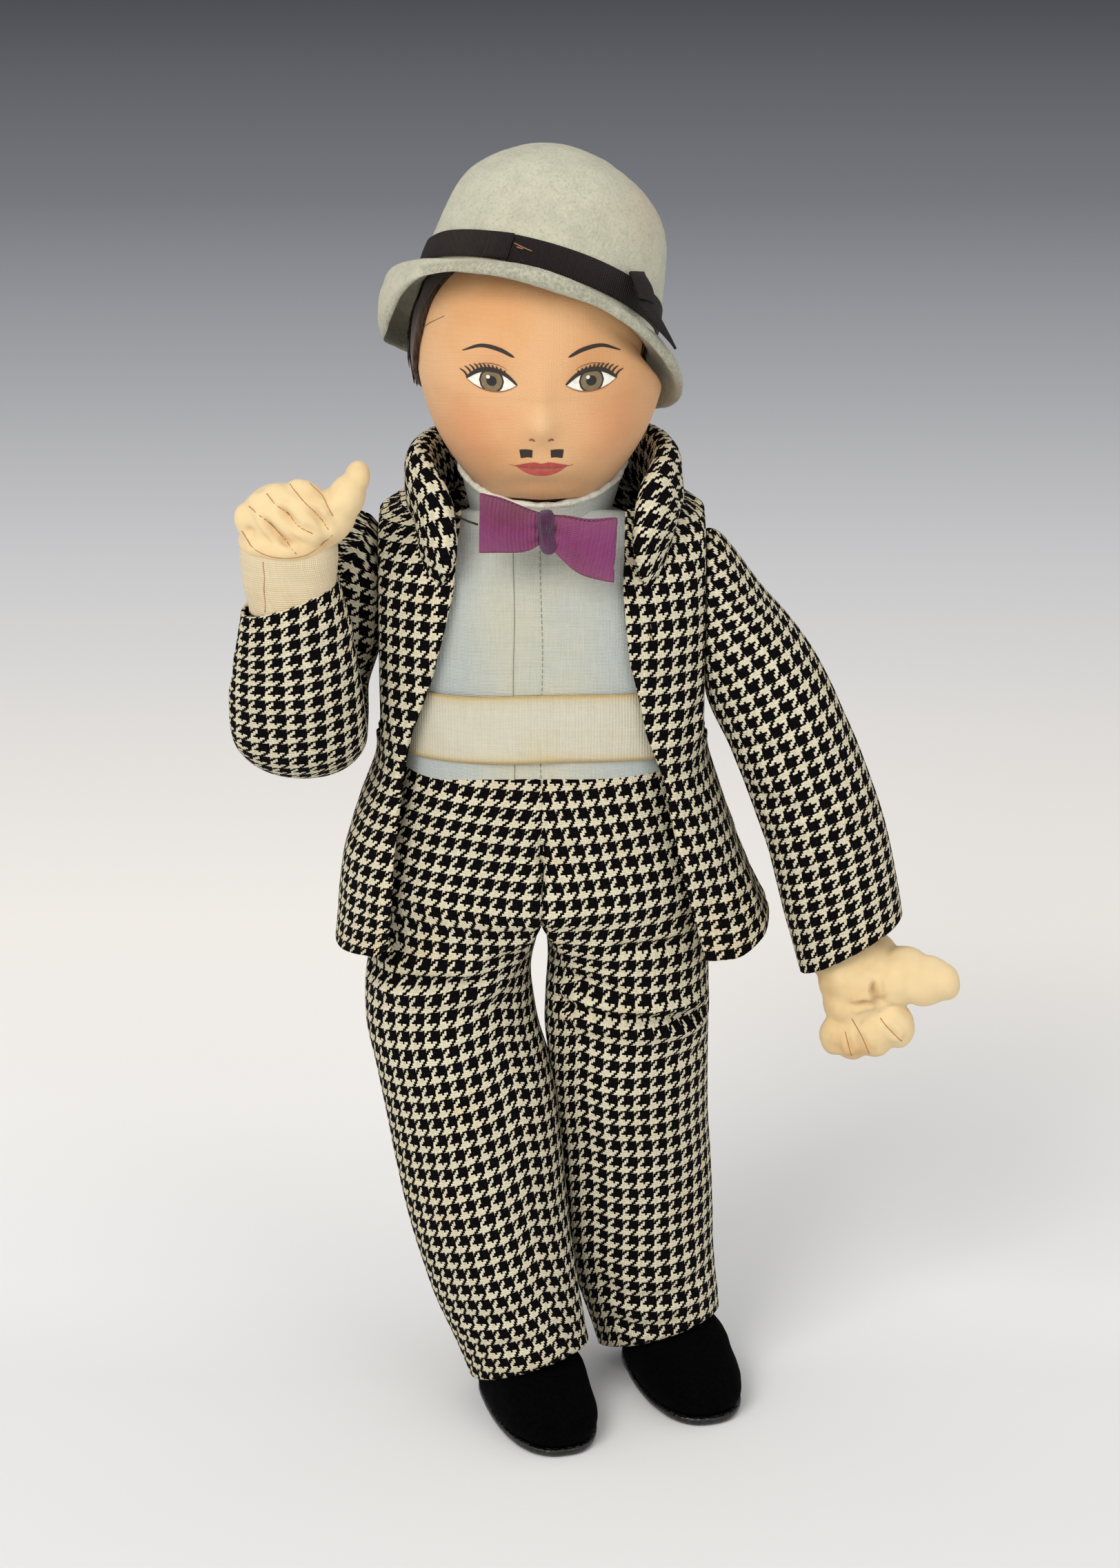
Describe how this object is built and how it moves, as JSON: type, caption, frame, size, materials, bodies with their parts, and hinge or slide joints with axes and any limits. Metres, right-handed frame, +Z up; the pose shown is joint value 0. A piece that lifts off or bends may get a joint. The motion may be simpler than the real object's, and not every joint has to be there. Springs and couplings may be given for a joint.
{
  "type": "cloth doll",
  "caption": "Stuffed cloth gentleman doll in a check suit and bowler hat, with a bow tie, hinged arms and legs and a turning head.",
  "frame": {"origin": "on the floor, under the middle of the doll's overall box", "axes": "+Z up, -Y the way the doll faces, +X the doll's own left-hand side"},
  "size_m": [0.1634, 0.08, 0.2964],
  "materials": {
    "suiting": "matte",
    "shirting": "matte",
    "calico": "matte",
    "face_cloth": "matte",
    "mohair": "satin",
    "hat_felt": "matte",
    "hat_ribbon": "matte",
    "bow_ribbon": "satin",
    "waist_ribbon": "matte",
    "velvet": "matte",
    "oilcloth": "satin",
    "stuffing": "matte",
    "wire": "satin"
  },
  "bodies": {
    "torso": {"spine_wire_frame": "wire", "neck_pin": "wire", "right_shoulder_rivet": "wire", "left_shoulder_rivet": "wire", "right_hip_rivet": "wire", "left_hip_rivet": "wire", "torso_stuffing": "stuffing", "trousers_seat": "suiting", "right_hip_fold": "suiting", "left_hip_fold": "suiting", "shirt": "shirting", "waist_tape": "waist_ribbon", "shirt_collar": "shirting", "bow_tie_right_loop": "bow_ribbon", "bow_tie_left_loop": "bow_ribbon", "bow_tie_knot": "bow_ribbon", "jacket_back": "suiting", "jacket_right_front": "suiting", "jacket_left_front": "suiting", "jacket_collar": "suiting"},
    "head": {"face_mask": "face_cloth", "head_back": "calico", "head_stuffing": "stuffing", "hair": "mohair", "hat_felt": "hat_felt", "hat_band": "hat_ribbon", "hat_bow": "hat_ribbon"},
    "right_upper_arm": {"right_upper_arm_wire": "wire", "right_upper_sleeve": "suiting", "right_upper_arm_stuffing": "stuffing", "right_elbow_rivet": "wire", "right_elbow_fold": "suiting"},
    "right_forearm": {"right_forearm_wire": "wire", "right_fore_sleeve": "suiting", "right_forearm_stuffing": "stuffing", "right_cuff": "calico", "right_hand": "calico"},
    "left_upper_arm": {"left_upper_arm_wire": "wire", "left_upper_sleeve": "suiting", "left_upper_arm_stuffing": "stuffing", "left_elbow_rivet": "wire", "left_elbow_fold": "suiting"},
    "left_forearm": {"left_forearm_wire": "wire", "left_fore_sleeve": "suiting", "left_forearm_stuffing": "stuffing", "left_hand": "calico"},
    "right_leg": {"right_leg_wire": "wire", "right_trouser_leg": "suiting", "right_leg_stuffing": "stuffing", "right_shoe_upper": "velvet", "right_shoe_sole": "oilcloth"},
    "left_leg": {"left_leg_wire": "wire", "left_trouser_leg": "suiting", "left_leg_stuffing": "stuffing", "left_shoe_upper": "velvet", "left_shoe_sole": "oilcloth"}
  },
  "joints": [
    {"name": "head_turn", "type": "hinge", "parent": "torso", "child": "head", "pos_m": [-0.01282, 0.00366, 0.217], "axis": [0, 0, 1], "range_deg": [-25, 25]},
    {"name": "right_shoulder", "type": "hinge", "parent": "torso", "child": "right_upper_arm", "pos_m": [-0.05142, 0.00166, 0.197], "axis": [-1, 0, 0], "range_deg": [-40, 100]},
    {"name": "right_elbow", "type": "hinge", "parent": "right_upper_arm", "child": "right_forearm", "pos_m": [-0.06532, -0.00654, 0.1685], "axis": [1, 0, 0], "range_deg": [0, 60], "deforming": ["right_elbow_fold"]},
    {"name": "left_shoulder", "type": "hinge", "parent": "torso", "child": "left_upper_arm", "pos_m": [0.02578, 0.00166, 0.197], "axis": [-1, 0, 0], "range_deg": [-40, 100]},
    {"name": "left_elbow", "type": "hinge", "parent": "left_upper_arm", "child": "left_forearm", "pos_m": [0.04718, -0.00134, 0.151], "axis": [-1, 0, 0], "range_deg": [0, 60], "deforming": ["left_elbow_fold"]},
    {"name": "right_hip", "type": "hinge", "parent": "torso", "child": "right_leg", "pos_m": [-0.03312, 0.00066, 0.097], "axis": [-1, 0, 0], "range_deg": [-10, 75], "deforming": ["right_hip_fold"]},
    {"name": "left_hip", "type": "hinge", "parent": "torso", "child": "left_leg", "pos_m": [0.00878, 0.00066, 0.097], "axis": [-1, 0, 0], "range_deg": [-10, 75], "deforming": ["left_hip_fold"]}
  ]
}
